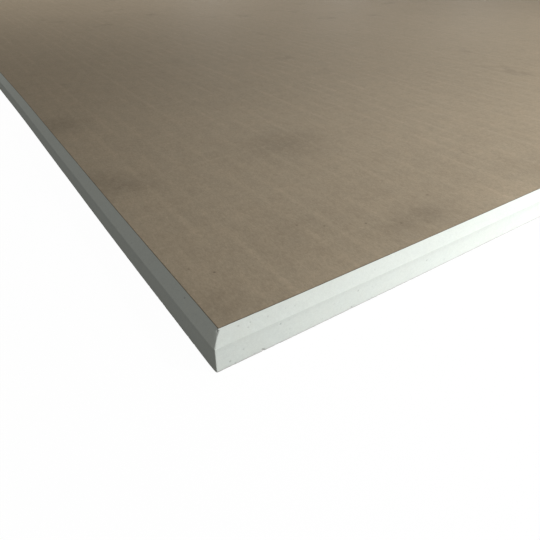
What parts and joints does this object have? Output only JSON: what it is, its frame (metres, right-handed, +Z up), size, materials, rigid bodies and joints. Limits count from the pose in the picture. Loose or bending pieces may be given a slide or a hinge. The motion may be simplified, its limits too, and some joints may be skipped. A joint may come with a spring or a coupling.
{
  "type": "drywall sheet",
  "caption": "Flat rectangular gypsum board with brown kraft paper on its upper face, bare white cut edges all round and a chamfer along each upper edge.",
  "frame": {"origin": "centre of the underside, on the floor that the sheet lies on", "axes": "+Y along the sheet's length, +X across its width, +Z up out of the brown back liner"},
  "size_m": [1.2, 2.4, 0.0125],
  "materials": {
    "gypsum": "matte, cut, finely pitted",
    "kraft_paper": "matte, mottled, faintly rippled along the sheet",
    "face_paper": "matte, smooth"
  },
  "bodies": {
    "root": {"gypsum_core": "gypsum", "back_liner": "kraft_paper", "face_liner": "face_paper"}
  },
  "joints": []
}
